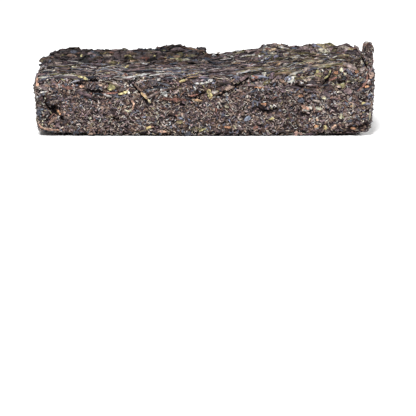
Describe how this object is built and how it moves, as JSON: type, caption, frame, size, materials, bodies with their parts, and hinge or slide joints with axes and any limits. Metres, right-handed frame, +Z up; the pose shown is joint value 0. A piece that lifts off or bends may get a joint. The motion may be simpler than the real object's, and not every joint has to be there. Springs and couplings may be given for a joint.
{
  "type": "pressed tea brick",
  "caption": "Rectangular brick of dark pressed tea leaves, thicker at its front right, with a loose leaf layer, a squeezed-up end ridge and small leaves standing out.",
  "frame": {"origin": "on the plane that the brick lies on, under the middle of its bounds", "axes": "+X along the brick's length to its right end, +Y from the front long side to the back one, +Z up"},
  "size_m": [0.1414, 0.0918, 0.0391],
  "materials": {
    "pressed_tea": "dark grey-brown pressed leaves and stems, dry, with a faint sheen on the smooth leaf faces"
  },
  "bodies": {
    "root": {"tea_brick": "pressed_tea"}
  },
  "joints": []
}
